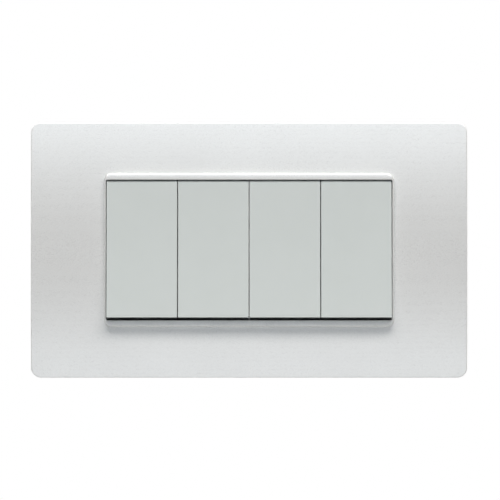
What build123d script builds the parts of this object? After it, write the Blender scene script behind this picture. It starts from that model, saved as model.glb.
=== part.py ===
from build123d import *

import os
from math import cos, hypot, pi, radians, sin, sqrt, tan

# Four-gang flush light switch: a crowned cover plate over a mounting frame with four rocker modules.
# Millimetres. +X is to the right, +Z is up and the front faces -Y. The wall's surface is the plane
# Y = 0, and every height below is measured from it: positive in front of the wall, negative in the box.

# Layout of the row
module_count = 4
module_pitch = 22.5

# Rocker key
rocker_length = 43.1
rocker_side_gap = 0.25
rocker_face_thickness = 1.5
rocker_wall = 1.1
rocker_edge_round = 0.45
rocker_tilt = 4.5
rocker_stop_gap = 0.4
rocker_rib_thickness = 0.9
rocker_rib_depth = 1.6
rocker_rib_inset = 5.4

# Front cover of a module's housing
housing_side_gap = 0.04
housing_end_margin = 0.85
housing_wall = 1.2
housing_split = -3.0
deck_height = 4.3
deck_thickness = 1.4
deck_clearance = 0.8
ear_thickness = 1.3
ear_width = 5.0
ear_above_pivot = 2.0
ear_side_gap = 0.35
bearing_lip = 0.2
tongue_thickness = 1.0
tongue_width = 6.0
tongue_reach = 4.5
tongue_barb = 0.5
tongue_clearance = 0.15
latch_width = 6.0
latch_height = 1.4
latch_lip = 0.9
latch_clearance = 0.2

# Rear base of a module's housing
base_end_inset = 1.8
base_side_inset = 0.05
base_rear = -25.0
base_rear_wall = 1.5
base_flange_thickness = 1.5
base_flange_lap = 1.1
wire_entry = 3.8
wire_funnel = 0.6
pocket_rib = 1.0
pocket_clearance = 0.15
pocket_top_gap = 2.6

# Actuator: cross bar, trunnions and stem
trunnion_radius = 1.45
trunnion_clearance = 0.05
bar_clearance = 0.6
bar_side_gap = 0.3
bar_depth = 7.0
bar_above_pivot = 3.1
bar_below_pivot = 1.5
stem_wall = 1.0
well_side = 5.0
clip_width = 2.0
clip_thickness = 1.0
clip_barb = 0.5
clip_gap = 0.1

# Plunger and its spring
plunger_clearance = 0.15
plunger_nose_radius = 1.2
plunger_nose_slope = 1.5
plunger_show = 5.15
plunger_engage = 4.0
plunger_stand_off = 0.15
spring_wire = 0.5
spring_turns = 4
spring_chords = 8
spring_side_gap = 0.2
spring_end_gap = 0.05
spring_space = 6.0

# Contact lever
lever_length = 18.4
lever_width = 5.0
lever_thickness = 1.2
lever_height = -10.5
lever_tilt = 8.0
contact_side = 2.5
contact_inset = 1.7
contact_lift = 0.5
contact_gap = 0.1
fixed_contact_lift = 0.6
knife_radius = 0.45
knife_clearance = 0.05

# Push-in terminals: a brass bar with its strip, and a leaf spring that clamps the wire to the bar
terminal_width = 5.0
terminal_depth = 6.2
terminal_gap = 0.1
strip_thickness = 1.0
strip_width = 4.4
leaf_thickness = 0.5
leaf_width = 4.6
leaf_length = 9.0
leaf_tip_rise = 6.0
leaf_tip_gap = 0.3

# Mounting frame
frame_fit = 0.2
frame_wall = 1.6
frame_wall_clearance = 0.8
flange_rear = 2.0
flange_thickness = 1.6
flange_end = 8.8
flange_side = 9.5
frame_corner = 2.5
rim_thickness = 1.6
slot_clearance = 0.7
slot_travel = 3.6

# Box screws
box_screw_offset = 9.0
shank_radius = 1.75
shank_reach = 23.0
neck_radius = 1.5
neck_length = 2.0
head_radius = 3.5
head_height = 1.8
drive_width = 0.9
drive_length = 4.2
drive_depth = 1.0

# Cover plate
plate_end_overlap = 7.25
plate_side_overlap = 5.25
plate_wall = 2.0
plate_crown = 1.9
plate_corner_radius = 3.2
plate_edge_bevel = 0.5
window_end_gap = 0.6
window_side_gap = 0.1
window_corner_radius = 0.6
rocker_stand_out = 1.1
collar_end_lip = 1.95
collar_side_lip = 0.45
collar_corner_radius = 1.5
collar_rise = 1.4
collar_embed = 0.4
collar_draft = 4.0
collar_edge_bevel = 0.35
collar_root_bevel = 0.3
hook_spread = 30.0
hook_width = 5.0
hook_thickness = 1.3
hook_barb = 0.7
hook_inset = 4.0
hook_clearance = 0.3
hook_catch_gap = 0.2
hook_foot = 0.8
pry_width = 7.0
pry_height = 1.2

# Sizes of the front, worked out from the driving dimensions
row_width = module_count * module_pitch
module_places = [(index - (module_count - 1) / 2) * module_pitch for index in range(module_count)]
pivot_height = deck_height + bar_below_pivot + bar_clearance
rocker_width = module_pitch - rocker_side_gap
rocker_ceiling = pivot_height + bar_above_pivot
rocker_face = rocker_ceiling + rocker_face_thickness
rocker_swing = rocker_length / 2 * sin(radians(rocker_tilt))
rocker_skirt = deck_height + rocker_stop_gap + rocker_swing
housing_width = module_pitch - housing_side_gap
housing_length = rocker_length + 2 * housing_end_margin
window_width = row_width + 2 * window_side_gap
window_height = rocker_length + 2 * window_end_gap

# Sizes of the frame, its screws and the plate
opening_width = row_width + 2 * frame_fit
opening_height = housing_length + 2 * frame_fit
wall_width = opening_width + 2 * frame_wall
wall_height = opening_height + 2 * frame_wall
box_screw_spacing = row_width + 2 * box_screw_offset
frame_width = box_screw_spacing + 2 * flange_side
frame_height = wall_height + 2 * flange_end
flange_front = flange_rear + flange_thickness
plate_width = frame_width + 2 * plate_side_overlap
plate_height = frame_height + 2 * plate_end_overlap
collar_top = rocker_face - rocker_stand_out
plate_peak = collar_top - collar_rise
crown_radius = ((plate_height / 2) ** 2 + plate_crown**2) / (2 * plate_crown)

# Side plane: its local x is the height off the wall and its local y points up
side_plane = Plane(origin=(0, 0, 0), x_dir=(0, -1, 0), z_dir=(-1, 0, 0))


def front_plane(height):
    """Sketch plane parallel to the wall at this height off it; extrusions run towards the front."""
    return Plane.XZ.offset(height)


def crown_height(place, depth=0):
    """Height of the plate's front, or of a face this deep below it, so far above or below its middle."""
    return plate_peak - crown_radius + sqrt((crown_radius - depth) ** 2 - place**2)


def crowned_block(outline, depth=0):
    """Block from the wall up to the plate's crowned front, or to a face this deep below it."""
    with BuildPart() as block:
        with BuildSketch(front_plane(0)):
            add(outline)
        extrude(amount=plate_peak)
        with BuildSketch(side_plane):
            with Locations((plate_peak - crown_radius, 0)):
                Circle(crown_radius - depth)
        extrude(amount=plate_width, both=True, mode=Mode.INTERSECT)
    return block.part


os.makedirs("parts", exist_ok=True)

# Cover plate: crowned shell with a raised collar round the window, and four hooks for the frame
collar_width = window_width + 2 * collar_side_lip
collar_height = window_height + 2 * collar_end_lip
collar_base = crown_height(collar_height / 2 + collar_rise) - collar_embed
collar_spread = (collar_top - collar_base) * tan(radians(collar_draft))
hook_place = frame_height / 2 - hook_inset
hook_outer = hook_place + hook_thickness / 2
hook_inner = hook_place - hook_thickness / 2
hook_root = crown_height(hook_inner, plate_wall / 2)
hook_catch = flange_rear - hook_catch_gap

with BuildSketch() as plate_outline:
    RectangleRounded(plate_width, plate_height, plate_corner_radius)

with BuildSketch() as hollow_outline:
    Rectangle(plate_width - 2 * plate_wall, plate_height - 2 * plate_wall)

with BuildPart() as cover_plate:
    add(crowned_block(plate_outline.sketch))
    chamfer(cover_plate.faces().sort_by(Axis.Y)[0].edges(), plate_edge_bevel)
    with BuildSketch(front_plane(collar_base)):
        RectangleRounded(
            collar_width + 2 * collar_spread,
            collar_height + 2 * collar_spread,
            collar_corner_radius + collar_spread,
        )
    extrude(amount=collar_top - collar_base, taper=collar_draft)
    chamfer(cover_plate.edges(Select.NEW), collar_root_bevel)
    chamfer(cover_plate.faces().sort_by(Axis.Y)[0].edges(), collar_edge_bevel)
    add(crowned_block(hollow_outline.sketch, plate_wall), mode=Mode.SUBTRACT)
    with BuildSketch(front_plane(0)):
        RectangleRounded(window_width, window_height, window_corner_radius)
    extrude(amount=collar_top, mode=Mode.SUBTRACT)
    with BuildSketch(side_plane.offset(hook_spread), side_plane.offset(-hook_spread)):
        with BuildLine():
            Polyline(
                (hook_root, hook_inner),
                (hook_foot, hook_inner),
                (hook_foot, hook_outer),
                (hook_foot + hook_barb / 2, hook_outer + hook_barb),
                (hook_catch, hook_outer + hook_barb),
                (hook_catch, hook_outer),
                (hook_root, hook_outer),
                close=True,
            )
        make_face()
        mirror(about=Plane.XZ)
    extrude(amount=hook_width / 2, both=True)
    with BuildSketch(Plane.XY.offset(-plate_height / 2)):
        with Locations((0, -pry_height / 2)):
            Rectangle(pry_width, pry_height)
    extrude(amount=plate_wall, mode=Mode.SUBTRACT)

cover_plate.part.label = "cover_plate"
export_step(cover_plate.part, "parts/cover_plate.step")

# Mounting frame: flange on a rim, a wall round the row of modules, slots for latches, hooks and screws
frame_wall_top = crown_height(wall_height / 2, plate_wall) - frame_wall_clearance
slot_width = 2 * (neck_radius + slot_clearance)
latch_middle = (housing_split + latch_height) / 2

with BuildPart() as mounting_frame:
    with BuildSketch(front_plane(0)):
        Rectangle(frame_width, frame_height)
        chamfer(vertices(), frame_corner)
    extrude(amount=flange_front)
    with BuildSketch(front_plane(0)):
        Rectangle(frame_width - 2 * rim_thickness, frame_height - 2 * rim_thickness)
        chamfer(vertices(), frame_corner)
    extrude(amount=flange_rear, mode=Mode.SUBTRACT)
    with BuildSketch(front_plane(housing_split)):
        Rectangle(wall_width, wall_height)
    extrude(amount=frame_wall_top - housing_split)
    with BuildSketch(front_plane(housing_split)):
        Rectangle(opening_width, opening_height)
    extrude(amount=frame_wall_top - housing_split, mode=Mode.SUBTRACT)
    with BuildSketch(front_plane(flange_rear)):
        with GridLocations(box_screw_spacing, 0, 2, 1):
            SlotOverall(slot_width + slot_travel, slot_width, rotation=90)
        with GridLocations(2 * hook_spread, 2 * hook_place, 2, 2):
            Rectangle(hook_width + 2 * hook_clearance, hook_thickness + 2 * hook_clearance)
    extrude(amount=flange_thickness, mode=Mode.SUBTRACT)
    with BuildSketch(Plane.XY):
        with Locations(*[(place, -latch_middle) for place in module_places]):
            Rectangle(latch_width + 2 * latch_clearance, latch_height + 2 * latch_clearance)
    extrude(amount=wall_height / 2, both=True, mode=Mode.SUBTRACT)

mounting_frame.part.label = "mounting_frame"
export_step(mounting_frame.part, "parts/mounting_frame.step")

# Box screws: flat head on the flange, neck in the frame's slot and threaded shank in the box
head_top = flange_front + head_height
shank_top = flange_front - neck_length

with BuildPart() as box_screws:
    with BuildSketch(front_plane(flange_front)):
        with GridLocations(box_screw_spacing, 0, 2, 1):
            Circle(head_radius)
    extrude(amount=head_height)
    with BuildSketch(front_plane(flange_front)):
        with GridLocations(box_screw_spacing, 0, 2, 1):
            Circle(neck_radius)
    extrude(amount=-neck_length)
    with BuildSketch(front_plane(shank_top)):
        with GridLocations(box_screw_spacing, 0, 2, 1):
            Circle(shank_radius)
    extrude(amount=-shank_reach)
    with BuildSketch(front_plane(head_top)):
        with GridLocations(box_screw_spacing, 0, 2, 1):
            Rectangle(drive_length, drive_width)
            Rectangle(drive_width, drive_length)
    extrude(amount=-drive_depth, mode=Mode.SUBTRACT)

box_screws.part.label = "box_screws"
export_step(box_screws.part, "parts/box_screws.step")

# Front cover of one housing, at the middle of the row: deck, snap-in bearings, latches and tongues
ear_outer = rocker_width / 2 - rocker_wall - ear_side_gap
ear_inner = ear_outer - ear_thickness
ear_top = pivot_height + ear_above_pivot
bearing_radius = trunnion_radius + trunnion_clearance
bar_half_length = ear_inner - bar_side_gap
stem_side = well_side + 2 * stem_wall
clip_place = (stem_side / 2 + bar_half_length) / 2
clip_inner = bar_depth / 2 + clip_gap
clip_outer = clip_inner + clip_thickness
deck_rear = deck_height - deck_thickness
base_length = housing_length - 2 * base_end_inset
base_inner_end = base_length / 2 - housing_wall
tongue_outer = base_inner_end - tongue_clearance
tongue_end = housing_split - tongue_reach
barb_height = 3 * tongue_barb

with BuildPart() as housing_cover:
    with BuildSketch(front_plane(housing_split)):
        Rectangle(housing_width, housing_length)
    extrude(amount=deck_height - housing_split)
    with BuildSketch(Plane.XY):
        with Locations((0, -latch_middle)):
            Rectangle(latch_width, latch_height)
    extrude(amount=housing_length / 2 + latch_lip, both=True)
    with BuildSketch(front_plane(housing_split)):
        Rectangle(housing_width - 2 * housing_wall, housing_length - 2 * housing_wall)
    extrude(amount=deck_rear - housing_split, mode=Mode.SUBTRACT)
    with BuildSketch(front_plane(deck_rear)):
        Rectangle(2 * clip_place + clip_width + 2 * deck_clearance, 2 * (clip_outer + deck_clearance))
    extrude(amount=deck_thickness, mode=Mode.SUBTRACT)
    with BuildSketch(side_plane.offset(ear_inner), side_plane.offset(-ear_outer)):
        with Locations(((deck_rear + ear_top) / 2, 0)):
            Rectangle(ear_top - deck_rear, ear_width)
        with Locations((pivot_height, 0)):
            Circle(bearing_radius, mode=Mode.SUBTRACT)
        with Locations(((pivot_height + ear_top) / 2, 0)):
            Rectangle(ear_above_pivot, 2 * (bearing_radius - bearing_lip), mode=Mode.SUBTRACT)
    extrude(amount=ear_thickness)
    with BuildSketch(side_plane):
        with BuildLine():
            Polyline(
                (deck_rear, tongue_outer),
                (tongue_end + barb_height, tongue_outer),
                (tongue_end + barb_height, tongue_outer + tongue_barb),
                (tongue_end, tongue_outer),
                (tongue_end, tongue_outer - tongue_thickness),
                (deck_rear, tongue_outer - tongue_thickness),
                close=True,
            )
        make_face()
        mirror(about=Plane.XZ)
    extrude(amount=tongue_width / 2, both=True)

# Heights of the contact system, from the lever at its two ends of travel
lever_top = lever_height + lever_thickness
lever_sine = sin(radians(lever_tilt))
lever_cosine = cos(radians(lever_tilt))
contact_place = lever_length / 2 - contact_inset
common_strip_top = lever_height - lever_length / 2 * lever_sine - contact_gap
closed_contact = lever_height - (contact_place + contact_side / 2) * lever_sine - contact_lift * lever_cosine
fixed_contact_top = closed_contact - contact_gap
load_strip_top = fixed_contact_top - fixed_contact_lift

# Rear base of one housing: box with a flange, a pocket for each terminal and a funnel for each wire
base_width = housing_width - 2 * base_side_inset
base_floor = base_rear + base_rear_wall
terminal_rear = base_floor + terminal_gap
terminal_outer = base_inner_end - terminal_gap
terminal_inner = terminal_outer - terminal_depth
wire_place = terminal_inner + strip_thickness + wire_entry / 2
pocket_width = terminal_width + 2 * pocket_clearance
pocket_inner = terminal_inner - terminal_gap
pocket_length = base_inner_end - pocket_inner
pocket_top = load_strip_top - strip_thickness - pocket_top_gap

with BuildPart() as housing_base:
    with BuildSketch(front_plane(base_rear)):
        Rectangle(base_width, base_length)
    extrude(amount=housing_split - base_rear)
    with BuildSketch(front_plane(housing_split)):
        Rectangle(housing_width, housing_length + 2 * base_flange_lap)
    extrude(amount=-base_flange_thickness)
    with BuildSketch(front_plane(base_floor)):
        Rectangle(base_width - 2 * housing_wall, 2 * base_inner_end)
    extrude(amount=housing_split - base_floor, mode=Mode.SUBTRACT)
    with BuildSketch(front_plane(base_floor)):
        with Locations((0, base_inner_end - (pocket_length + pocket_rib) / 2)):
            Rectangle(pocket_width + 2 * pocket_rib, pocket_length + pocket_rib)
        with Locations((0, base_inner_end - pocket_length / 2)):
            Rectangle(pocket_width, pocket_length, mode=Mode.SUBTRACT)
        mirror(about=Plane.XZ)
    extrude(amount=pocket_top - base_floor)
    with BuildSketch(front_plane(base_rear)):
        with GridLocations(0, 2 * wire_place, 1, 2):
            Rectangle(wire_entry, wire_entry)
    extrude(amount=base_rear_wall, mode=Mode.SUBTRACT)
    rear_face = housing_base.faces().sort_by(Axis.Y)[-1]
    chamfer(rear_face.inner_wires().edges(), wire_funnel)
    with BuildSketch(Plane.XY):
        with Locations((0, -tongue_end - barb_height / 2)):
            Rectangle(tongue_width + 2 * tongue_clearance, barb_height + 2 * tongue_clearance)
    extrude(amount=base_length / 2, both=True, mode=Mode.SUBTRACT)

# Rocker key, level: a shell with stiffening ribs and four clips that grip the actuator's bar
bar_bottom = pivot_height - bar_below_pivot
clip_catch = bar_bottom - clip_gap
rib_spread = rocker_length - 2 * rocker_rib_inset

with BuildPart() as rocker:
    with BuildSketch(front_plane(rocker_skirt)):
        Rectangle(rocker_width, rocker_length)
    extrude(amount=rocker_face - rocker_skirt)
    fillet(rocker.faces().sort_by(Axis.Y)[0].edges(), rocker_edge_round)
    with BuildSketch(front_plane(rocker_skirt)):
        Rectangle(rocker_width - 2 * rocker_wall, rocker_length - 2 * rocker_wall)
    extrude(amount=rocker_ceiling - rocker_skirt, mode=Mode.SUBTRACT)
    with BuildSketch(front_plane(rocker_ceiling)):
        with GridLocations(0, rib_spread, 1, 2):
            Rectangle(rocker_width - 2 * rocker_wall, rocker_rib_thickness)
    extrude(amount=-rocker_rib_depth)
    with BuildSketch(side_plane.offset(clip_place), side_plane.offset(-clip_place)):
        with BuildLine():
            Polyline(
                (rocker_ceiling, clip_inner),
                (clip_catch, clip_inner),
                (clip_catch, clip_inner - clip_barb),
                (clip_catch - clip_barb, clip_inner),
                (clip_catch - clip_barb, clip_outer),
                (rocker_ceiling, clip_outer),
                close=True,
            )
        make_face()
        mirror(about=Plane.XZ)
    extrude(amount=clip_width / 2, both=True)

# Actuator, level: cross bar between the ears, trunnions and the stem with the spring's well
plunger_tip = lever_top + plunger_stand_off
stem_end = plunger_tip + plunger_show
plunger_top = stem_end + plunger_engage
well_roof = plunger_top + spring_space

with BuildPart() as actuator:
    with BuildSketch(side_plane):
        with Locations(((bar_bottom + rocker_ceiling) / 2, 0)):
            Rectangle(rocker_ceiling - bar_bottom, bar_depth)
    extrude(amount=bar_half_length, both=True)
    with BuildSketch(side_plane):
        with Locations((pivot_height, 0)):
            Circle(trunnion_radius)
    extrude(amount=ear_outer - bar_side_gap, both=True)
    with BuildSketch(front_plane(stem_end)):
        Rectangle(stem_side, stem_side)
    extrude(amount=bar_bottom - stem_end)
    with BuildSketch(front_plane(stem_end)):
        Rectangle(well_side, well_side)
    extrude(amount=well_roof - stem_end, mode=Mode.SUBTRACT)

# Plunger, level: a square slider with a rounded wedge for a nose
plunger_side = well_side - 2 * plunger_clearance
nose_centre = plunger_tip + plunger_nose_radius
nose_shoulder = nose_centre + plunger_nose_slope

with BuildPart() as plunger:
    with BuildSketch(side_plane):
        with BuildLine():
            Polyline(
                (plunger_top, -plunger_side / 2),
                (nose_shoulder, -plunger_side / 2),
                (nose_centre, -plunger_nose_radius),
                (nose_centre, plunger_nose_radius),
                (nose_shoulder, plunger_side / 2),
                (plunger_top, plunger_side / 2),
                close=True,
            )
        make_face()
        with Locations((nose_centre, 0)):
            Circle(plunger_nose_radius)
    extrude(amount=plunger_side / 2, both=True)

# Spring, level: square wire along a coil of straight chords
spring_radius = (well_side - spring_wire) / 2 - spring_side_gap
spring_start = plunger_top + spring_end_gap + spring_wire / 2
spring_rise = spring_space - 2 * spring_end_gap - spring_wire
spring_steps = spring_turns * spring_chords


def coil_point(step):
    """Point of the spring's centre line after this many chords."""
    turn = 2 * pi * step / spring_chords
    height = spring_start + spring_rise * step / spring_steps
    return (spring_radius * cos(turn), -height, spring_radius * sin(turn))


with BuildPart() as spring:
    with BuildLine() as coil:
        Polyline(*[coil_point(step) for step in range(spring_steps + 1)])
    with BuildSketch(Plane(origin=coil.line @ 0, z_dir=coil.line % 0)):
        Rectangle(spring_wire, spring_wire)
    sweep(transition=Transition.RIGHT)

# Contact lever, level: a strip with a groove for the knife edge and a contact pad under its upper end
with BuildPart() as contact_lever:
    with BuildSketch(side_plane):
        with Locations(((lever_height + lever_top) / 2, 0)):
            Rectangle(lever_thickness, lever_length)
        with Locations((lever_height, 0)):
            Circle(knife_radius + knife_clearance, mode=Mode.SUBTRACT)
    extrude(amount=lever_width / 2, both=True)
    with BuildSketch(front_plane(lever_height)):
        with Locations((0, contact_place)):
            Rectangle(contact_side, contact_side)
    extrude(amount=-contact_lift)


def terminal(side, strip_top, strip_end):
    """Brass bar at the upper (1) or lower (-1) end of a module, with its strip out to this place."""
    bar_middle = side * (terminal_inner + strip_thickness / 2)
    with BuildPart() as piece:
        with BuildSketch(front_plane(terminal_rear)):
            with Locations((0, bar_middle)):
                Rectangle(terminal_width, strip_thickness)
        extrude(amount=strip_top - terminal_rear)
        with BuildSketch(front_plane(strip_top)):
            with Locations((0, (bar_middle + strip_end) / 2)):
                Rectangle(strip_width, abs(bar_middle - strip_end))
        extrude(amount=-strip_thickness)
    return piece.part


# Common terminal: its strip is the lever's stop, and carries the knife edge that the lever rocks on
with BuildPart() as common_terminal:
    add(terminal(-1, common_strip_top, knife_radius))
    with BuildSketch(side_plane):
        with Locations(((common_strip_top + lever_height) / 2, 0)):
            Rectangle(lever_height - common_strip_top, 2 * knife_radius)
        with Locations((lever_height, 0)):
            Circle(knife_radius)
    extrude(amount=strip_width / 2, both=True)

# Load terminal: its strip carries the fixed contact
with BuildPart() as load_terminal:
    add(terminal(1, load_strip_top, contact_place - contact_side / 2))
    with BuildSketch(front_plane(load_strip_top)):
        with Locations((0, contact_place)):
            Rectangle(contact_side, contact_side)
    extrude(amount=fixed_contact_lift)

# Clamp spring of the load terminal: one leg along the end wall, the other slanting in to the bar
leaf_tip = terminal_rear + leaf_tip_rise
leaf_tip_place = terminal_inner + strip_thickness + leaf_tip_gap
leaf_run = terminal_outer - leaf_tip_place
leaf_rise = leaf_thickness * hypot(leaf_tip_rise, leaf_run) / leaf_run
leaf_bend = terminal_rear + leaf_thickness * leaf_tip_rise / leaf_run + leaf_rise

with BuildPart() as load_clamp:
    with BuildSketch(side_plane):
        with BuildLine():
            Polyline(
                (terminal_rear + leaf_length, terminal_outer),
                (terminal_rear, terminal_outer),
                (leaf_tip, leaf_tip_place),
                (leaf_tip + leaf_rise, leaf_tip_place),
                (leaf_bend, terminal_outer - leaf_thickness),
                (terminal_rear + leaf_length, terminal_outer - leaf_thickness),
                close=True,
            )
        make_face()
    extrude(amount=leaf_width / 2, both=True)

# The pieces of one module in their rest positions: upper end of the key pressed in, contact open
rocker_axis = Axis((0, -pivot_height, 0), (1, 0, 0))
lever_axis = Axis((0, -lever_height, 0), (1, 0, 0))
module_pieces = {
    "housing_cover": housing_cover.part,
    "housing_base": housing_base.part,
    "rocker": rocker.part.rotate(rocker_axis, -rocker_tilt),
    "actuator": actuator.part.rotate(rocker_axis, -rocker_tilt),
    "plunger": plunger.part.rotate(rocker_axis, -rocker_tilt),
    "spring": spring.part.rotate(rocker_axis, -rocker_tilt),
    "contact_lever": contact_lever.part.rotate(lever_axis, lever_tilt),
    "common_terminal": common_terminal.part,
    "load_terminal": load_terminal.part,
    "common_clamp": load_clamp.part.mirror(Plane.XY),
    "load_clamp": load_clamp.part,
}

for number, place in enumerate(module_places, start=1):
    for name, piece in module_pieces.items():
        placed = piece.moved(Location((place, 0, 0)))
        placed.label = f"{name}_{number}"
        export_step(placed, f"parts/{name}_{number}.step")
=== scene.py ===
from collections import namedtuple
from math import copysign, cos, pi, radians, sin, sqrt, tan

import bmesh
import bpy
from mathutils import Matrix, Vector


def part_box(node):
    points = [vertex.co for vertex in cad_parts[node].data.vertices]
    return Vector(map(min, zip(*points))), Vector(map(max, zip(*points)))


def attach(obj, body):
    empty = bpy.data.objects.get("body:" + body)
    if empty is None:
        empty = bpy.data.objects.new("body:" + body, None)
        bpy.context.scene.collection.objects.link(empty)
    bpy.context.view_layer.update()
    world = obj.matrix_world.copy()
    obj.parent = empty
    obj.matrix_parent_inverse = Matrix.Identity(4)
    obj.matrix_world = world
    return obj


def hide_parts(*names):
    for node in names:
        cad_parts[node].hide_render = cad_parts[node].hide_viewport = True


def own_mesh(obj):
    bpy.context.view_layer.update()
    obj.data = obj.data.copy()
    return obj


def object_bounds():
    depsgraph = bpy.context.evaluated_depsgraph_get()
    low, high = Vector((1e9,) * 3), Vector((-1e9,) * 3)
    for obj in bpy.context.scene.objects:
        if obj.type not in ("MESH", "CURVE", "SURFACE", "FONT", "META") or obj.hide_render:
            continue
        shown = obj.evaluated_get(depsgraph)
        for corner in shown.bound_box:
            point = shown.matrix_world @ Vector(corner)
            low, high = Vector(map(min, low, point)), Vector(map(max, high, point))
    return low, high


# Four-gang rocker light switch: a satin silver-white plate with a raised collar round four plain keys.
# Metres. +X is to the right, +Z is up and the front faces -Y. Heights are measured off the wall, Y = 0.

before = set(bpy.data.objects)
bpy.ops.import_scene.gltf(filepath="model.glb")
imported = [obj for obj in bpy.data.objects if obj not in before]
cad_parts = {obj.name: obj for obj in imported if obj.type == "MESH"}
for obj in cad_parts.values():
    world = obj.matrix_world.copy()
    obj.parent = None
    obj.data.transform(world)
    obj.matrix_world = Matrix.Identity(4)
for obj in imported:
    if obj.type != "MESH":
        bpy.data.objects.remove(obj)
cad_low, cad_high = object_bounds()

mm = 0.001
origin = Vector((0, 0, 0))
module_numbers = (1, 2, 3, 4)

# Cover plate
plate_low, plate_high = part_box("cover_plate")
plate_half_x = plate_high.x
plate_half_z = plate_high.z
plate_corner = 3.2 * mm
plate_peak = 8.5 * mm
plate_crown = 1.9 * mm
plate_wall = 2.0 * mm
plate_edge_round = 0.3 * mm
plate_rim_round = 0.2 * mm
hollow_corner = 0.5 * mm
crown_radius = (plate_half_z**2 + plate_crown**2) / (2 * plate_crown)
face_steps = 10
round_steps = 5
corner_steps = 9
side_cuts = 30

# Collar and window of the plate
collar_top = -plate_low.y
collar_half_x = 45.55 * mm
collar_half_z = 24.1 * mm
collar_corner = 2.1 * mm
collar_draft = radians(4)
collar_edge_round = 0.46 * mm
collar_side_round = 0.18 * mm
collar_root_round = 0.03 * mm
window_half_x = 45.1 * mm
window_half_z = 22.15 * mm
window_corner = 0.6 * mm
window_edge_round = 0.03 * mm
window_side_round = 0.06 * mm
lip_bow = 0.075 * mm
lip_steps = 5

# Hooks and pry notch of the plate
hook_spread = 30 * mm
hook_width = 5 * mm
hook_inner = 28.35 * mm
hook_outer = 29.65 * mm
hook_barb = 0.7 * mm
hook_foot = 0.8 * mm
hook_catch = 1.8 * mm
hook_root = 6.5 * mm
hook_edge_round = 0.12 * mm
pry_half_width = 3.5 * mm
pry_height = 1.2 * mm
pry_brink = 0.02 * mm

# Keys
pivot_height = 6.4 * mm
key_tilt = radians(-4.5)
key_half_x = 11.125 * mm
key_half_z = 21.55 * mm
key_face = 10.97 * mm
key_skirt = 6.39 * mm
key_ceiling = 9.5 * mm
key_wall = 1.1 * mm
key_edge_round = 0.3 * mm
key_side_round = 0.08 * mm
key_end_round = 0.05 * mm
key_edge_steps = 6
key_shortest_rail = 1.8 * key_half_z
key_dish = 0.5 * mm
key_dish_cuts = 23
key_rib_place = 16.15 * mm
key_rib_thickness = 0.9 * mm
key_rib_depth = 1.6 * mm
clip_place = 5.79 * mm
clip_half_width = 1.0 * mm
clip_inner = 3.6 * mm
clip_outer = 4.6 * mm
clip_catch = 4.8 * mm
clip_barb = 0.5 * mm
clip_edge_round = 0.05 * mm

# Box screws
screw_low, screw_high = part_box("box_screws")
screw_spacing_half = 54 * mm
head_radius = 3.5 * mm
head_rim = 0.7 * mm
head_top = -screw_low.y
head_seat = 3.6 * mm
head_steps = 48
dome_steps = 8
neck_radius = 1.5 * mm
shank_top = 1.6 * mm
shank_end = screw_high.y
thread_crest = 1.75 * mm
thread_root = 1.38 * mm
thread_pitch = 0.6 * mm
thread_crest_start = 0.4 * thread_pitch
thread_crest_end = 0.55 * thread_pitch
thread_steps = 28
recess_length = 4.2 * mm
recess_width = 0.9 * mm
recess_depth = 1.0 * mm

# Coil springs
spring_wire = 0.25 * mm
spring_wire_steps = 10
spring_radius = 2.05 * mm
spring_length = 5.9 * mm
spring_turns = 4
spring_turn_steps = 40

# Welding, rounding and shading of the meshes
weld_distance = 0.0005 * mm
smooth_angle = radians(32)
flat_angle = radians(0.5)
bar_steps = 2
moulded_round = 0.18 * mm
moulded_steps = 3
moulded_room = 2.2 * moulded_round
parallel_least = 0.98


# Shared effects

def new_group(name, inputs, outputs):
    """Empty shader node group with these sockets, given as (name, kind, value)."""
    group = bpy.data.node_groups.new(name, "ShaderNodeTree")
    for socket_name, kind, value in inputs:
        socket = group.interface.new_socket(socket_name, in_out="INPUT", socket_type=kind)
        if value is not None:
            socket.default_value = value
    for socket_name, kind in outputs:
        group.interface.new_socket(socket_name, in_out="OUTPUT", socket_type=kind)
    nodes = group.nodes
    return group, nodes, group.links, nodes.new("NodeGroupInput"), nodes.new("NodeGroupOutput")


def add_noise(nodes, detail, roughness=0.5):
    """Noise texture node with this much detail."""
    noise = nodes.new("ShaderNodeTexNoise")
    noise.inputs["Detail"].default_value = detail
    noise.inputs["Roughness"].default_value = roughness
    return noise


def make_tone_drift():
    """Slow drift between two close colours, as in a sprayed or moulded surface."""
    group, nodes, links, start, end = new_group(
        "tone_drift",
        [
            ("Vector", "NodeSocketVector", None),
            ("Light Tone", "NodeSocketColor", (0.8, 0.8, 0.8, 1)),
            ("Dark Tone", "NodeSocketColor", (0.7, 0.7, 0.7, 1)),
            ("Patches", "NodeSocketFloat", 60.0),
        ],
        [("Color", "NodeSocketColor")],
    )
    noise = add_noise(nodes, detail=3.0)
    links.new(start.outputs["Vector"], noise.inputs["Vector"])
    links.new(start.outputs["Patches"], noise.inputs["Scale"])
    spread = nodes.new("ShaderNodeMapRange")
    spread.inputs["From Min"].default_value = 0.3
    spread.inputs["From Max"].default_value = 0.7
    links.new(noise.outputs["Fac"], spread.inputs["Value"])
    blend = nodes.new("ShaderNodeMix")
    blend.data_type = "RGBA"
    links.new(spread.outputs["Result"], blend.inputs["Factor"])
    links.new(start.outputs["Light Tone"], blend.inputs["A"])
    links.new(start.outputs["Dark Tone"], blend.inputs["B"])
    links.new(blend.outputs["Result"], end.inputs["Color"])
    return group


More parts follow.
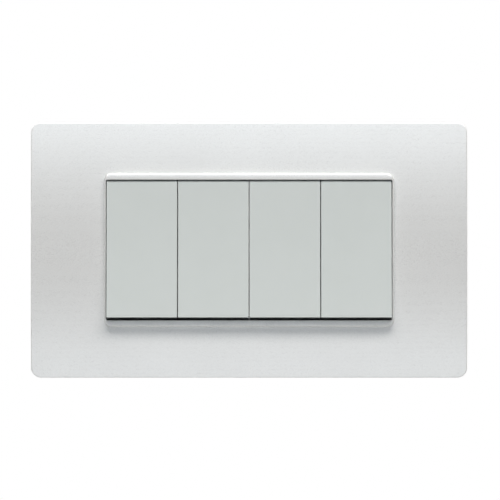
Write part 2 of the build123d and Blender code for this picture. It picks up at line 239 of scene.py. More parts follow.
def make_fine_grain():
    """Fine grain of a sprayed or spark-eroded surface: a roughness that varies and a height for bump."""
    group, nodes, links, start, end = new_group(
        "fine_grain",
        [
            ("Vector", "NodeSocketVector", None),
            ("Grains", "NodeSocketFloat", 3000.0),
            ("Smoothest", "NodeSocketFloat", 0.3),
            ("Roughest", "NodeSocketFloat", 0.5),
        ],
        [("Roughness", "NodeSocketFloat"), ("Height", "NodeSocketFloat")],
    )
    fine = add_noise(nodes, detail=2.0)
    links.new(start.outputs["Vector"], fine.inputs["Vector"])
    links.new(start.outputs["Grains"], fine.inputs["Scale"])
    spread = nodes.new("ShaderNodeMapRange")
    spread.inputs["From Min"].default_value = 0.25
    spread.inputs["From Max"].default_value = 0.75
    links.new(fine.outputs["Fac"], spread.inputs["Value"])
    links.new(start.outputs["Smoothest"], spread.inputs["To Min"])
    links.new(start.outputs["Roughest"], spread.inputs["To Max"])
    links.new(spread.outputs["Result"], end.inputs["Roughness"])
    links.new(fine.outputs["Fac"], end.inputs["Height"])
    return group


def make_rolled_lines():
    """Fine parallel lines of rolled strip or drawn wire, along the axis that Stretch makes small."""
    group, nodes, links, start, end = new_group(
        "rolled_lines",
        [
            ("Vector", "NodeSocketVector", None),
            ("Stretch", "NodeSocketVector", (1.0, 1.0, 0.05)),
            ("Lines", "NodeSocketFloat", 4000.0),
            ("Smoothest", "NodeSocketFloat", 0.2),
            ("Roughest", "NodeSocketFloat", 0.4),
        ],
        [("Roughness", "NodeSocketFloat"), ("Height", "NodeSocketFloat")],
    )
    squeeze = nodes.new("ShaderNodeVectorMath")
    squeeze.operation = "MULTIPLY"
    links.new(start.outputs["Vector"], squeeze.inputs[0])
    links.new(start.outputs["Stretch"], squeeze.inputs[1])
    lines = add_noise(nodes, detail=3.0, roughness=0.6)
    links.new(squeeze.outputs["Vector"], lines.inputs["Vector"])
    links.new(start.outputs["Lines"], lines.inputs["Scale"])
    spread = nodes.new("ShaderNodeMapRange")
    links.new(lines.outputs["Fac"], spread.inputs["Value"])
    links.new(start.outputs["Smoothest"], spread.inputs["To Min"])
    links.new(start.outputs["Roughest"], spread.inputs["To Max"])
    links.new(spread.outputs["Result"], end.inputs["Roughness"])
    links.new(lines.outputs["Fac"], end.inputs["Height"])
    return group


tone_drift = make_tone_drift()
fine_grain = make_fine_grain()
rolled_lines = make_rolled_lines()


# Materials

plate_patches = 45
moulded_patches = 90
metal_patches = 400
metal_line_depth = 0.002 * mm


def place_group(nodes, group, **values):
    """Node that uses a shared effect, with its own values."""
    node = nodes.new("ShaderNodeGroup")
    node.node_tree = group
    for name, value in values.items():
        node.inputs[name.replace("_", " ")].default_value = value
    return node


def new_finish(name, light_tone, dark_tone, patches):
    """Material whose colour drifts between two tones, with its nodes, links, shader and coordinates."""
    material = bpy.data.materials.new(name)
    material.use_nodes = True
    nodes = material.node_tree.nodes
    links = material.node_tree.links
    shader = nodes["Principled BSDF"]
    place = nodes.new("ShaderNodeTexCoord").outputs["Object"]
    drift = place_group(nodes, tone_drift, Light_Tone=light_tone, Dark_Tone=dark_tone, Patches=patches)
    links.new(place, drift.inputs["Vector"])
    links.new(drift.outputs["Color"], shader.inputs["Base Color"])
    return material, nodes, links, shader, place


def add_surface(nodes, links, shader, place, effect, depth):
    """Feeds an effect's roughness and bump, this deep in metres, to the shader."""
    links.new(place, effect.inputs["Vector"])
    links.new(effect.outputs["Roughness"], shader.inputs["Roughness"])
    bump = nodes.new("ShaderNodeBump")
    bump.inputs["Distance"].default_value = depth
    bump.inputs["Strength"].default_value = 1.0
    links.new(effect.outputs["Height"], bump.inputs["Height"])
    links.new(bump.outputs["Normal"], shader.inputs["Normal"])


def grained_finish(
    name, light_tone, dark_tone, grains, smoothest, roughest, depth, patches=moulded_patches, metallic=0.0
):
    """Moulded plastic or lacquer with a fine grain, and with this much metal flake in it."""
    material, nodes, links, shader, place = new_finish(name, light_tone, dark_tone, patches)
    shader.inputs["Metallic"].default_value = metallic
    grain = place_group(nodes, fine_grain, Grains=grains, Smoothest=smoothest, Roughest=roughest)
    add_surface(nodes, links, shader, place, grain, depth)
    return material


def metal_finish(name, light_tone, dark_tone, stretch, smoothest, roughest):
    """Bare metal with the lines of its rolling or drawing."""
    material, nodes, links, shader, place = new_finish(name, light_tone, dark_tone, metal_patches)
    shader.inputs["Metallic"].default_value = 1.0
    lines = place_group(nodes, rolled_lines, Stretch=stretch, Smoothest=smoothest, Roughest=roughest)
    add_surface(nodes, links, shader, place, lines, metal_line_depth)
    return material


plate_material = grained_finish(
    "satin_silver_white", light_tone=(0.79, 0.80, 0.795, 1), dark_tone=(0.77, 0.78, 0.775, 1),
    grains=9000, smoothest=0.265, roughest=0.295, depth=0.00015 * mm, patches=plate_patches, metallic=0.35,
)
key_material = grained_finish(
    "key_plastic", light_tone=(0.575, 0.618, 0.612, 1), dark_tone=(0.563, 0.607, 0.60, 1),
    grains=9000, smoothest=0.3, roughest=0.36, depth=0.0002 * mm,
)
frame_material = grained_finish(
    "frame_plastic", light_tone=(0.12, 0.123, 0.127, 1), dark_tone=(0.10, 0.103, 0.107, 1),
    grains=2600, smoothest=0.42, roughest=0.6, depth=0.01 * mm,
)
housing_material = grained_finish(
    "housing_plastic", light_tone=(0.60, 0.60, 0.575, 1), dark_tone=(0.56, 0.56, 0.535, 1),
    grains=2200, smoothest=0.36, roughest=0.5, depth=0.006 * mm,
)
inner_material = grained_finish(
    "inner_plastic", light_tone=(0.66, 0.62, 0.52, 1), dark_tone=(0.62, 0.58, 0.48, 1),
    grains=2400, smoothest=0.3, roughest=0.42, depth=0.004 * mm,
)
steel_material = metal_finish(
    "zinc_plate", light_tone=(0.62, 0.63, 0.62, 1), dark_tone=(0.56, 0.565, 0.53, 1),
    stretch=(1.0, 0.15, 1.0), smoothest=0.24, roughest=0.42,
)
spring_material = metal_finish(
    "spring_steel", light_tone=(0.50, 0.50, 0.51, 1), dark_tone=(0.42, 0.42, 0.43, 1),
    stretch=(1.0, 1.0, 0.1), smoothest=0.22, roughest=0.36,
)
copper_material = metal_finish(
    "copper_alloy", light_tone=(0.74, 0.47, 0.30, 1), dark_tone=(0.66, 0.40, 0.25, 1),
    stretch=(1.0, 1.0, 0.06), smoothest=0.22, roughest=0.4,
)
brass_material = metal_finish(
    "terminal_brass", light_tone=(0.76, 0.60, 0.30, 1), dark_tone=(0.68, 0.52, 0.25, 1),
    stretch=(1.0, 0.06, 1.0), smoothest=0.22, roughest=0.4,
)


# Mesh tools

# Rounded rectangle that faces the front, and either follows the plate's crown or is level
Outline = namedtuple("Outline", "half_x half_z corner height crown")
crowned = 1
level = 0


def finish_piece(bm, name, material, body, slot, *nodes):
    """Turns a bmesh into a shown piece that rides on a body and stands for these nodes."""
    mesh = bpy.data.meshes.new(name)
    bm.to_mesh(mesh)
    bm.free()
    mesh.shade_smooth()
    mesh.set_sharp_from_angle(angle=smooth_angle)
    mesh.materials.append(material)
    piece = bpy.data.objects.new(name, mesh)
    bpy.context.scene.collection.objects.link(piece)
    flat_faces = piece.modifiers.new("flat_faces", "WEIGHTED_NORMAL")
    flat_faces.keep_sharp = True
    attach(piece, body)
    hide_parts(*nodes)
    return piece


def all_of(bm):
    """All vertices, edges and faces of a mesh."""
    return bm.verts[:] + bm.edges[:] + bm.faces[:]


def new_verts(made):
    """Vertices among what an extrusion made."""
    return [item for item in made["geom"] if isinstance(item, bmesh.types.BMVert)]


def round_edges(bm, edges, round_over, steps):
    """Rounds these edges over."""
    bmesh.ops.bevel(
        bm, geom=edges, offset=round_over, offset_type="OFFSET", affect="EDGES",
        segments=steps, profile=0.5, material=-1, clamp_overlap=True,
    )


def sag(place):
    """How far the crowned plate has dropped at this height above or below its middle."""
    return crown_radius - sqrt(crown_radius**2 - place**2)


def crown_sag(outline, place):
    """Drop of an outline that follows the plate's crown, at this height above or below its middle."""
    return outline.crown * sag(place)


def outline_loop(bm, outline):
    """Closed loop of edges along an outline."""
    square = bmesh.ops.create_grid(bm, x_segments=1, y_segments=1, size=1.0)["verts"]
    turn = Matrix.Rotation(pi / 2, 4, "X") @ Matrix.Diagonal((outline.half_x, outline.half_z, 1, 1))
    bmesh.ops.transform(bm, matrix=turn, verts=square)
    bmesh.ops.bevel(
        bm, geom=square, offset=outline.corner, offset_type="OFFSET", affect="VERTICES",
        segments=corner_steps, profile=0.5, material=-1,
    )
    sides = [edge for edge in bm.edges if edge.calc_length() > outline.half_z]
    bmesh.ops.subdivide_edges(bm, edges=sides, cuts=side_cuts)
    bmesh.ops.delete(bm, geom=bm.faces[:], context="FACES_ONLY")
    for vert in bm.verts:
        vert.co.y = crown_sag(outline, vert.co.z) - outline.height
    return bm.edges[:]


def next_loop(bm, loop, old, new):
    """Extrudes a loop of edges from one outline to the next, and returns the new loop."""
    made = bmesh.ops.extrude_edge_only(bm, edges=loop)
    verts = new_verts(made)
    straight_x = old.half_x - old.corner
    straight_z = old.half_z - old.corner
    for vert in verts:
        core_x = max(-straight_x, min(straight_x, vert.co.x))
        core_z = max(-straight_z, min(straight_z, vert.co.z))
        bend_x = vert.co.x - core_x
        bend_z = vert.co.z - core_z
        vert.co.x = core_x * (new.half_x - new.corner) / straight_x + bend_x * new.corner / old.corner
        vert.co.z = core_z * (new.half_z - new.corner) / straight_z + bend_z * new.corner / old.corner
        vert.co.y = crown_sag(new, vert.co.z) - new.height
    fresh = set(verts)
    edges = [item for item in made["geom"] if isinstance(item, bmesh.types.BMEdge)]
    return [edge for edge in edges if edge.verts[0] in fresh and edge.verts[1] in fresh]


def loft_outlines(bm, outlines):
    """Skin over a row of outlines."""
    loop = outline_loop(bm, outlines[0])
    for old, new in zip(outlines, outlines[1:]):
        loop = next_loop(bm, loop, old, new)


def add_block(bm, low, high):
    """Block between two corners."""
    verts = bmesh.ops.create_cube(bm, size=1.0)["verts"]
    size = Vector(high) - Vector(low)
    middle = (Vector(high) + Vector(low)) / 2
    bmesh.ops.transform(bm, matrix=Matrix.Translation(middle) @ Matrix.Diagonal((*size, 1)), verts=verts)
    return verts


def add_profile(bm, points, middle, half_width, round_over):
    """Bar along X with a profile of (height, up) points, with its edges rounded over."""
    verts = [bm.verts.new((middle - half_width, -height, up)) for height, up in points]
    face = bm.faces.new(verts)
    moved = new_verts(bmesh.ops.extrude_face_region(bm, geom=[face]))
    bmesh.ops.translate(bm, verts=moved, vec=(2 * half_width, 0, 0))
    bar = set(verts + moved)
    edges = [edge for edge in bm.edges if edge.verts[0] in bar and edge.verts[1] in bar]
    round_edges(bm, edges, round_over, bar_steps)


# Cover plate

def grown(outline, out_x, out_z, height, crown):
    """Outline moved out by this much at its sides and at its ends, at another height."""
    corner = outline.corner + (out_x + out_z) / 2
    return Outline(outline.half_x + out_x, outline.half_z + out_z, corner, height, crown)


def between(first, last, share):
    """Outline this share of the way from one outline to another."""
    return Outline(*[a + (b - a) * share for a, b in zip(first, last)])


def plate_outlines():
    """Plate's section, from the window's rear edge over the front and the rim to the hollow's ceiling."""
    rear = plate_peak - plate_wall
    window = Outline(window_half_x, window_half_z, window_corner, rear, crowned)
    lines = [window]
    for step in range(round_steps + 1):
        turn = pi / 2 * step / round_steps
        bend = 1 - cos(turn)
        height = collar_top - window_edge_round * (1 - sin(turn))
        lines.append(grown(window, window_side_round * bend, window_edge_round * bend, height, level))

    slope = pi / 2 - collar_draft
    collar = Outline(collar_half_x, collar_half_z, collar_corner, collar_top, level)
    lip_inner = lines[-1]
    lip_out_x = -collar_side_round * tan(slope / 2)
    lip_out_z = -collar_edge_round * tan(slope / 2)
    lip_outer = grown(collar, lip_out_x, lip_out_z, collar_top, level)
    for step in range(1, lip_steps):
        lines.append(between(lip_inner, lip_outer, step / lip_steps))
    for step in range(round_steps + 1):
        turn = slope * step / round_steps
        bend = sin(turn) - tan(slope / 2)
        height = collar_top - collar_edge_round * (1 - cos(turn))
        lines.append(grown(collar, collar_side_round * bend, collar_edge_round * bend, height, level))

    foot_x = (collar_top - plate_peak) * tan(collar_draft)
    foot_z = (collar_top - plate_peak + sag(collar_half_z)) * tan(collar_draft)
    foot_corner = collar_corner + foot_x
    foot = Outline(collar_half_x + foot_x, collar_half_z + foot_z, foot_corner, plate_peak, crowned)
    for step in range(round_steps, -1, -1):
        turn = slope * step / round_steps
        out = collar_root_round * (tan(slope / 2) - sin(turn))
        lines.append(grown(foot, out, out, plate_peak + collar_root_round * (1 - cos(turn)), crowned))

    edge = Outline(plate_half_x, plate_half_z, plate_corner, plate_peak, crowned)
    face_inner = lines[-1]
    face_outer = grown(edge, -plate_edge_round, -plate_edge_round, plate_peak, crowned)
    for step in range(1, face_steps + 1):
        lines.append(between(face_inner, face_outer, step / face_steps))
    for step in range(1, round_steps + 1):
        turn = pi / 2 * step / round_steps
        out = -plate_edge_round * (1 - sin(turn))
        lines.append(grown(edge, out, out, plate_peak - plate_edge_round * (1 - cos(turn)), crowned))

    for step in range(round_steps + 1):
        turn = pi / 2 * step / round_steps
        out = -plate_rim_round * (1 - cos(turn))
        lines.append(grown(edge, out, out, plate_rim_round * (1 - sin(turn)), level))
    hollow = Outline(plate_half_x - plate_wall, plate_half_z - plate_wall, hollow_corner, 0, level)
    ceiling = Outline(hollow.half_x, hollow.half_z, hollow_corner, rear, crowned)
    lines.append(hollow)
    for step in range(face_steps + 1):
        lines.append(between(ceiling, window, step / face_steps))
    return lines


def bow_lips(bm):
    """Lets the collar's upper and lower lips fall off a little towards their outer edges."""
    lip_start = window_half_z + window_edge_round
    lip_width = collar_half_z - collar_edge_round - lip_start
    for vert in bm.verts:
        reach = abs(vert.co.z) - lip_start
        if reach > 0 and -vert.co.y > collar_top - collar_edge_round:
            vert.co.y += lip_bow * (reach / lip_width) ** 2


def cut_pry_notch(bm):
    """Lifts the middle of the lower rim clear of the wall, where a blade goes in."""
    pry_outer = pry_half_width + pry_brink
    for place in (-pry_outer, -pry_half_width, pry_half_width, pry_outer):
        bmesh.ops.bisect_plane(
            bm, geom=all_of(bm), dist=weld_distance, plane_co=(place, 0, 0), plane_no=(1, 0, 0)
        )
    hollow_edge = plate_wall - plate_half_z
    for vert in bm.verts:
        in_notch = abs(vert.co.x) < pry_half_width + pry_brink / 2 and vert.co.z < hollow_edge + pry_brink
        if in_notch and -vert.co.y < pry_height:
            vert.co.y = -pry_height


def make_plate():
    """Plate with its collar, hooks and pry notch."""
    bm = bmesh.new()
    loft_outlines(bm, plate_outlines())
    bmesh.ops.remove_doubles(bm, verts=bm.verts, dist=weld_distance)
    bow_lips(bm)
    cut_pry_notch(bm)
    for side in (1, -1):
        for place in (-hook_spread, hook_spread):
            profile = (
                (hook_root, side * hook_inner),
                (hook_foot, side * hook_inner),
                (hook_foot, side * hook_outer),
                (hook_foot + hook_barb / 2, side * (hook_outer + hook_barb)),
                (hook_catch, side * (hook_outer + hook_barb)),
                (hook_catch, side * hook_outer),
                (hook_root, side * hook_outer),
            )
            add_profile(bm, profile, place, hook_width / 2, hook_edge_round)
    bmesh.ops.recalc_face_normals(bm, faces=bm.faces)
    finish_piece(bm, "satin_plate", plate_material, "switch_body", "plate", "cover_plate")


# Keys

def key_shell(bm):
    """Level key with a dished face, open at the rear, with rounded edges and its hollow."""
    verts = add_block(bm, (-key_half_x, -key_face, -key_half_z), (key_half_x, -key_skirt, key_half_z))
    front = [vert for vert in verts if vert.co.y < -key_ceiling]
    rear = [face for face in bm.faces if face.calc_center_median().y > -key_skirt - weld_distance]
    bmesh.ops.delete(bm, geom=rear, context="FACES_ONLY")
    edges = [edge for edge in bm.edges if edge.verts[0] in front or edge.verts[1] in front]
    round_edges(bm, edges, key_edge_round, key_edge_steps)
    for vert in bm.verts:
        for axis, half_size, width in ((0, key_half_x, key_side_round), (2, key_half_z, key_end_round)):
            inset = (half_size - abs(vert.co[axis])) * width / key_edge_round
            vert.co[axis] = copysign(half_size - inset, vert.co[axis])
    long_edges = [edge for edge in bm.edges if edge.calc_length() > key_shortest_rail]
    rails = [edge for edge in long_edges if not edge.is_boundary]
    bmesh.ops.subdivide_edges(bm, edges=rails, cuts=key_dish_cuts, use_grid_fill=True)
    for vert in bm.verts:
        if vert.co.y < -key_skirt - key_edge_round:
            vert.co.y += key_dish * (1 - (vert.co.z / key_half_z) ** 2)
    rim = [edge for edge in bm.edges if edge.is_boundary]
    narrow = Matrix.Diagonal((1 - key_wall / key_half_x, 1, 1 - key_wall / key_half_z, 1))
    for matrix in (narrow, Matrix.Translation((0, key_skirt - key_ceiling, 0))):
        moved = new_verts(bmesh.ops.extrude_edge_only(bm, edges=rim))
        bmesh.ops.transform(bm, matrix=matrix, verts=moved)
        rim = [edge for edge in bm.edges if edge.is_boundary]
    bmesh.ops.edgeloop_fill(bm, edges=rim)


def key_ribs_and_clips(bm):
    """Stiffening ribs under the key's face and the four clips that grip the actuator's bar."""
    inner_x = key_half_x - key_wall
    for side in (1, -1):
        middle = side * key_rib_place
        add_block(
            bm,
            (-inner_x, -key_ceiling, middle - key_rib_thickness / 2),
            (inner_x, key_rib_depth - key_ceiling, middle + key_rib_thickness / 2),
        )
        for place in (-clip_place, clip_place):
            profile = (
                (key_ceiling, side * clip_inner),
                (clip_catch, side * clip_inner),
                (clip_catch, side * (clip_inner - clip_barb)),
                (clip_catch - clip_barb, side * clip_inner),
                (clip_catch - clip_barb, side * clip_outer),
                (key_ceiling, side * clip_outer),
            )
            add_profile(bm, profile, place, clip_half_width, clip_edge_round)


def make_key(number):
    """Key of one module, tilted as it rests."""
    bm = bmesh.new()
    key_shell(bm)
    key_ribs_and_clips(bm)
    bmesh.ops.recalc_face_normals(bm, faces=bm.faces)
    node = f"rocker_{number}"
    low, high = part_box(node)
    tilt = Matrix.Rotation(key_tilt, 3, "X")
    bmesh.ops.rotate(bm, verts=bm.verts, cent=(0, -pivot_height, 0), matrix=tilt)
    bmesh.ops.translate(bm, verts=bm.verts, vec=((low.x + high.x) / 2, 0, 0))
    finish_piece(bm, f"key_{number}", key_material, node, "key", node)


# Box screws

def spin_profile(bm, points, steps):
    """Turned shape about the Y axis, from (radius, height) points."""
    verts = [bm.verts.new((radius, -height, 0)) for radius, height in points]
    edges = [bm.edges.new(pair) for pair in zip(verts, verts[1:])]
    bmesh.ops.spin(
        bm, geom=verts + edges, cent=origin, axis=(0, 1, 0), dvec=origin,
        angle=2 * pi, steps=steps, use_merge=True,
    )


def screw_head(bm):
    """Pan head with a domed top and a cross recess, and the plain neck under it."""
    dome_height = head_top - head_seat - head_rim
    dome = []
    for step in range(dome_steps + 1):
        turn = pi / 2 * step / dome_steps
        dome.append((head_radius * sin(turn), head_seat + head_rim + dome_height * cos(turn)))
    points = dome + [(head_radius, head_seat), (neck_radius, head_seat), (neck_radius, shank_top)]
    spin_profile(bm, points, head_steps)
    bmesh.ops.remove_doubles(bm, verts=bm.verts, dist=weld_distance)
    bmesh.ops.holes_fill(bm, edges=bm.edges)
    cut_cross(bm)


def cut_cross(bm):
    """Sinks a cross recess for the driver into the top of the head."""
    half_length = recess_length / 2
    half_width = recess_width / 2
    for place in (-half_length, -half_width, half_width, half_length):
        for across in ((1, 0, 0), (0, 0, 1)):
            top = [face for face in bm.faces if face.calc_center_median().y < -head_seat - head_rim]
            edges = {edge for face in top for edge in face.edges}
            verts = {vert for face in top for vert in face.verts}
            bmesh.ops.bisect_plane(
                bm, geom=list(verts) + list(edges) + top, dist=weld_distance,
                plane_co=Vector(across) * place, plane_no=across,
            )
    arms = []
    for face in bm.faces:
        middle = face.calc_center_median()
        long_arm = abs(middle.x) < half_length and abs(middle.z) < half_width
        cross_arm = abs(middle.z) < half_length and abs(middle.x) < half_width
        if middle.y < -head_seat - head_rim and (long_arm or cross_arm):
            arms.append(face)
    made = bmesh.ops.extrude_face_region(bm, geom=arms)
    bmesh.ops.delete(bm, geom=[face for face in arms if face.is_valid], context="FACES")
    for vert in new_verts(made):
        vert.co.y = recess_depth - head_top


def screw_thread(bm):
    """Threaded shank: one ridge spun into a helix, cut off square at both ends."""
    profile = (
        (thread_root, 0),
        (thread_crest, thread_crest_start),
        (thread_crest, thread_crest_end),
        (thread_root, thread_pitch),
    )
    thread = bmesh.new()
    start = -shank_top - 2 * thread_pitch
    verts = [thread.verts.new((radius, start + along, 0)) for radius, along in profile]
    edges = [thread.edges.new(pair) for pair in zip(verts, verts[1:])]
    turns = int((shank_end - start) / thread_pitch) + 2
    bmesh.ops.spin(
        thread, geom=verts + edges, cent=origin, axis=(0, 1, 0), dvec=(0, thread_pitch / thread_steps, 0),
        angle=2 * pi * turns, steps=thread_steps * turns, use_merge=False,
    )
    bmesh.ops.remove_doubles(thread, verts=thread.verts, dist=weld_distance)
    for place, outward in ((-shank_top, -1), (shank_end, 1)):
        bmesh.ops.bisect_plane(
            thread, geom=all_of(thread), dist=weld_distance, plane_co=(0, place, 0),
            plane_no=(0, outward, 0), clear_outer=True,
        )
    bmesh.ops.holes_fill(thread, edges=thread.edges)
    bmesh.ops.recalc_face_normals(thread, faces=thread.faces)
    mesh = bpy.data.meshes.new("thread")
    thread.to_mesh(mesh)
    thread.free()
    bm.from_mesh(mesh)
    bpy.data.meshes.remove(mesh)


def make_screw(name, place):
    """Box screw at this place along the frame."""
    bm = bmesh.new()
    screw_head(bm)
    bmesh.ops.recalc_face_normals(bm, faces=bm.faces)
    screw_thread(bm)
    bmesh.ops.translate(bm, verts=bm.verts, vec=(place, 0, 0))
    finish_piece(bm, name, steel_material, "switch_body", "steel", "box_screws")


# Coil springs

def make_spring(number):
    """Round-wire coil spring in the actuator's well, built at one fixed length, though the plunger presses
    the real one together.
    """
    node = f"spring_{number}"
    low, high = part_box(node)
    middle = (low + high) / 2
    bm = bmesh.new()
    rise = spring_length - 2 * spring_wire
    steps = spring_turns * spring_turn_steps
    circle = bmesh.ops.create_circle(bm, segments=spring_wire_steps, radius=spring_wire, cap_ends=True)
    bmesh.ops.translate(bm, verts=circle["verts"], vec=(spring_radius, 0, 0))
    bmesh.ops.spin(
        bm, geom=all_of(bm), cent=origin, axis=(0, 1, 0), dvec=(0, rise / steps, 0),
        angle=2 * pi * spring_turns, steps=steps, use_merge=False,
    )
    bmesh.ops.recalc_face_normals(bm, faces=bm.faces)
    bmesh.ops.translate(bm, verts=bm.verts, vec=(0, -rise / 2, 0))
    tilt = Matrix.Rotation(key_tilt, 3, "X")
    bmesh.ops.rotate(bm, verts=bm.verts, cent=origin, matrix=tilt)
    bmesh.ops.translate(bm, verts=bm.verts, vec=middle)
    piece = finish_piece(
        bm, f"coil_spring_{number}", spring_material, f"rocker_{number}", "spring_steel", node
    )
    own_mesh(piece)


# Moulded pieces

def crowds(edge, other):
    """Whether another edge runs beside this one with too little room between them for two roundings."""
    if edge is other:
        return False
    start, end = (vert.co for vert in edge.verts)
    along = end - start
    length = along.length
    along.normalize()
    other_along = (other.verts[1].co - other.verts[0].co).normalized()
    if abs(along.dot(other_along)) < parallel_least:
        return False
    places = sorted((vert.co - start).dot(along) for vert in other.verts)
    if places[1] < weld_distance or places[0] > length - weld_distance:
        return False
    reach = other.verts[0].co - start
    return (reach - along * reach.dot(along)).length < moulded_room


def make_moulded(node, name, material, slot):
    """Moulded piece of the fixed body: the node's own form with its sharp edges rounded over."""
    bm = bmesh.new()
    bm.from_mesh(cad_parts[node].data)
    bmesh.ops.remove_doubles(bm, verts=bm.verts, dist=weld_distance)
    bmesh.ops.dissolve_limit(
        bm, angle_limit=flat_angle, use_dissolve_boundaries=False, verts=bm.verts[:], edges=bm.edges[:],
        delimit=set(),
    )
    sharp = [edge for edge in bm.edges if edge.is_manifold and edge.calc_face_angle() > smooth_angle]
    roomy = [edge for edge in sharp if not any(crowds(edge, other) for other in sharp)]
    round_edges(bm, roomy, moulded_round, moulded_steps)
    finish_piece(bm, name, material, "switch_body", slot, node)


# Pieces that are shown as they are

inner_finishes = {
    "actuator": inner_material,
    "plunger": inner_material,
    "contact_lever": copper_material,
    "common_terminal": brass_material,
    "load_terminal": brass_material,
    "common_clamp": spring_material,
    "load_clamp": spring_material,
}


def paint_node(node, material):
    """Gives a node that is shown as it is its own finish."""
    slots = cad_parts[node].data.materials
    slots.clear()
    slots.append(material)


make_plate()
make_screw("box_screw_left", -screw_spacing_half)
make_screw("box_screw_right", screw_spacing_half)
make_moulded("mounting_frame", "frame_moulding", frame_material, "frame")
for number in module_numbers:
    make_key(number)
    make_spring(number)
    make_moulded(f"housing_cover_{number}", f"housing_front_{number}", housing_material, "housing")
    make_moulded(f"housing_base_{number}", f"housing_rear_{number}", housing_material, "housing")
    for kind, material in inner_finishes.items():
        paint_node(f"{kind}_{number}", material)


# Stage, light and camera

white = (1, 1, 1, 1)
floor_drop = 1.1
floor_front = 2.0
floor_rear = 12.0
floor_half_width = 12.0
floor_tone = (0.72, 0.72, 0.72, 1)
floor_roughness = 0.9
floor_near_glow = 0.25
floor_mirrored_glow = 0.4
floor_far_reach = (0.0, 9.0)
floor_front_reach = (-1.9, -0.9)
world_level = 0.55
world_reach = (-0.3, 0.7)
room_level = 0.15
room_reach = (-0.8, -0.2)
main_place = (0.15, -1.41, 1.68)
main_size = (2.4, 0.6)
main_power = 63.0
main_tint = (1.03, 1.0, 0.97)
panel_place = (0.0, -2.9, 0.81)
panel_size = (1.1, 0.56)
panel_power = 4.2
panel_tint = (0.92, 1.0, 1.08)
low_place = (0.0, -2.4, -0.56)
low_size = (1.0, 0.26)
low_power = 2.25
low_tint = (0.94, 1.0, 1.06)
rear_place = (-1.1, 1.7, 1.2)
rear_size = (1.4, 1.0)
rear_power = 18.0
rear_tint = (1.0, 1.0, 1.0)
camera_distance = 1.5
camera_nearest = 0.05
camera_shift_x = 0.28 * mm
picture_width = 157.45 * mm
sensor_width = 36.0


def larger_of(nodes, links, first, second):
    """The larger of two values."""
    larger = nodes.new("ShaderNodeMath")
    larger.operation = "MAXIMUM"
    links.new(first, larger.inputs[0])
    links.new(second, larger.inputs[1])
    return larger.outputs[0]


def background_rays(nodes, links):
    """One for rays from the camera, from reflections and through glass, and none for the rest."""
    rays = nodes.new("ShaderNodeLightPath")
    seen = larger_of(nodes, links, rays.outputs["Is Camera Ray"], rays.outputs["Is Glossy Ray"])
    return larger_of(nodes, links, seen, rays.outputs["Is Transmission Ray"])


def add_fade(nodes, links, source, reach, first, last):
    """Smooth change from a first to a last value, while the source passes through its reach."""
    start, end = reach
    fade = nodes.new("ShaderNodeMapRange")
    fade.interpolation_type = "SMOOTHSTEP"
    fade.inputs["From Min"].default_value = start
    fade.inputs["From Max"].default_value = end
    fade.inputs["To Min"].default_value = first
    fade.inputs["To Max"].default_value = last
    links.new(source, fade.inputs["Value"])
    return fade.outputs["Result"]


def floor_finish():
    """Dull pale finish. What the camera sees of its glow grows towards the floor's far and front rims."""
    material = bpy.data.materials.new("floor")
    material.use_nodes = True
    nodes = material.node_tree.nodes
    links = material.node_tree.links
    shader = nodes["Principled BSDF"]
    shader.inputs["Base Color"].default_value = floor_tone
    shader.inputs["Roughness"].default_value = floor_roughness
    shader.inputs["Emission Color"].default_value = white
    place = nodes.new("ShaderNodeTexCoord").outputs["Object"]
    flat = nodes.new("ShaderNodeVectorMath")
    flat.operation = "MULTIPLY"
    flat.inputs[1].default_value = (1, 1, 0)
    links.new(place, flat.inputs[0])
    distance = nodes.new("ShaderNodeVectorMath")
    distance.operation = "LENGTH"
    links.new(flat.outputs["Vector"], distance.inputs[0])
    parts = nodes.new("ShaderNodeSeparateXYZ")
    links.new(place, parts.inputs["Vector"])
    far_fade = add_fade(nodes, links, distance.outputs["Value"], floor_far_reach, floor_near_glow, 1.0)
    front_fade = add_fade(nodes, links, parts.outputs["Y"], floor_front_reach, 1.0, floor_near_glow)
    rays = nodes.new("ShaderNodeLightPath")
    glow = nodes.new("ShaderNodeMix")
    glow.inputs["A"].default_value = floor_mirrored_glow
    links.new(rays.outputs["Is Camera Ray"], glow.inputs["Factor"])
    links.new(larger_of(nodes, links, far_fade, front_fade), glow.inputs["B"])
    share = nodes.new("ShaderNodeMath")
    share.operation = "MULTIPLY"
    links.new(background_rays(nodes, links), share.inputs[0])
    links.new(glow.outputs["Result"], share.inputs[1])
    links.new(share.outputs[0], shader.inputs["Emission Strength"])
    return material


def make_floor():
    """Pale floor below the switch, which fades into the white background towards its rims."""
    bm = bmesh.new()
    bmesh.ops.create_grid(bm, x_segments=1, y_segments=1, size=1.0)
    middle = Matrix.Translation((0, (floor_rear - floor_front) / 2, cad_low.z - floor_drop))
    spread = Matrix.Diagonal((floor_half_width, (floor_rear + floor_front) / 2, 1, 1))
    bmesh.ops.transform(bm, matrix=middle @ spread, verts=bm.verts)
    mesh = bpy.data.meshes.new("floor")
    bm.to_mesh(mesh)
    bm.free()
    mesh.materials.append(floor_finish())
    floor = bpy.data.objects.new("floor", mesh)
    bpy.context.scene.collection.objects.link(floor)


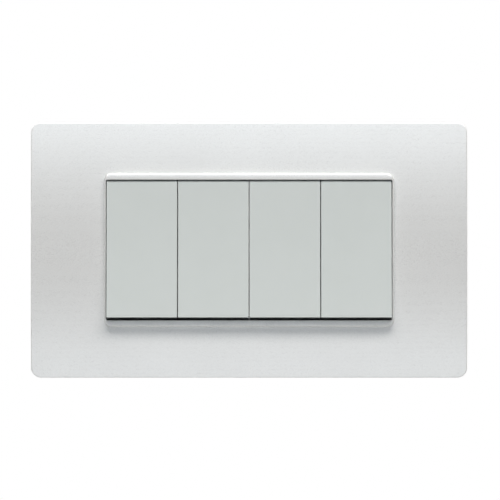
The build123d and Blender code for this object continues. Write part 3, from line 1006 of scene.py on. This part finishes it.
def make_world():
    """White background, and an even soft light from behind the wall's plane; the room in front is dim."""
    world = bpy.data.worlds.new("studio")
    bpy.context.scene.world = world
    world.use_nodes = True
    nodes = world.node_tree.nodes
    links = world.node_tree.links
    background = nodes["Background"]
    background.inputs["Color"].default_value = white
    direction = nodes.new("ShaderNodeTexCoord")
    parts = nodes.new("ShaderNodeSeparateXYZ")
    links.new(direction.outputs["Generated"], parts.inputs["Vector"])
    light_fade = add_fade(nodes, links, parts.outputs["Y"], world_reach, 0.0, world_level)
    room_fade = add_fade(nodes, links, parts.outputs["Y"], room_reach, room_level, 1.0)
    rays = nodes.new("ShaderNodeLightPath")
    backdrop = larger_of(nodes, links, rays.outputs["Is Camera Ray"], room_fade)
    strength = nodes.new("ShaderNodeMix")
    links.new(background_rays(nodes, links), strength.inputs["Factor"])
    links.new(light_fade, strength.inputs["A"])
    links.new(backdrop, strength.inputs["B"])
    links.new(strength.outputs["Result"], background.inputs["Strength"])


def add_soft_light(name, place, size, power, tint):
    """Large soft light that faces the switch."""
    lamp = bpy.data.lights.new(name, "AREA")
    lamp.shape = "RECTANGLE"
    lamp.size, lamp.size_y = size
    lamp.energy = power
    lamp.color = tint
    light = bpy.data.objects.new(name, lamp)
    light.location = place
    light.visible_camera = False
    light.rotation_euler = (-Vector(place)).to_track_quat("-Z", "Y").to_euler()
    bpy.context.scene.collection.objects.link(light)


def make_camera():
    """Camera straight in front of the plate, far enough for an almost parallel view."""
    camera_data = bpy.data.cameras.new("camera")
    camera_data.sensor_width = sensor_width
    camera_data.lens = sensor_width * camera_distance / picture_width
    camera_data.clip_start = camera_nearest
    camera = bpy.data.objects.new("camera", camera_data)
    camera.location = (camera_shift_x, -plate_peak - camera_distance, 0)
    camera.rotation_euler = (pi / 2, 0, 0)
    bpy.context.scene.collection.objects.link(camera)
    bpy.context.scene.camera = camera


make_floor()
make_world()
add_soft_light("main_light", main_place, main_size, main_power, main_tint)
add_soft_light("upper_panel", panel_place, panel_size, panel_power, panel_tint)
add_soft_light("low_panel", low_place, low_size, low_power, low_tint)
add_soft_light("rear_light", rear_place, rear_size, rear_power, rear_tint)
make_camera()
bpy.context.scene.view_settings.view_transform = "Standard"
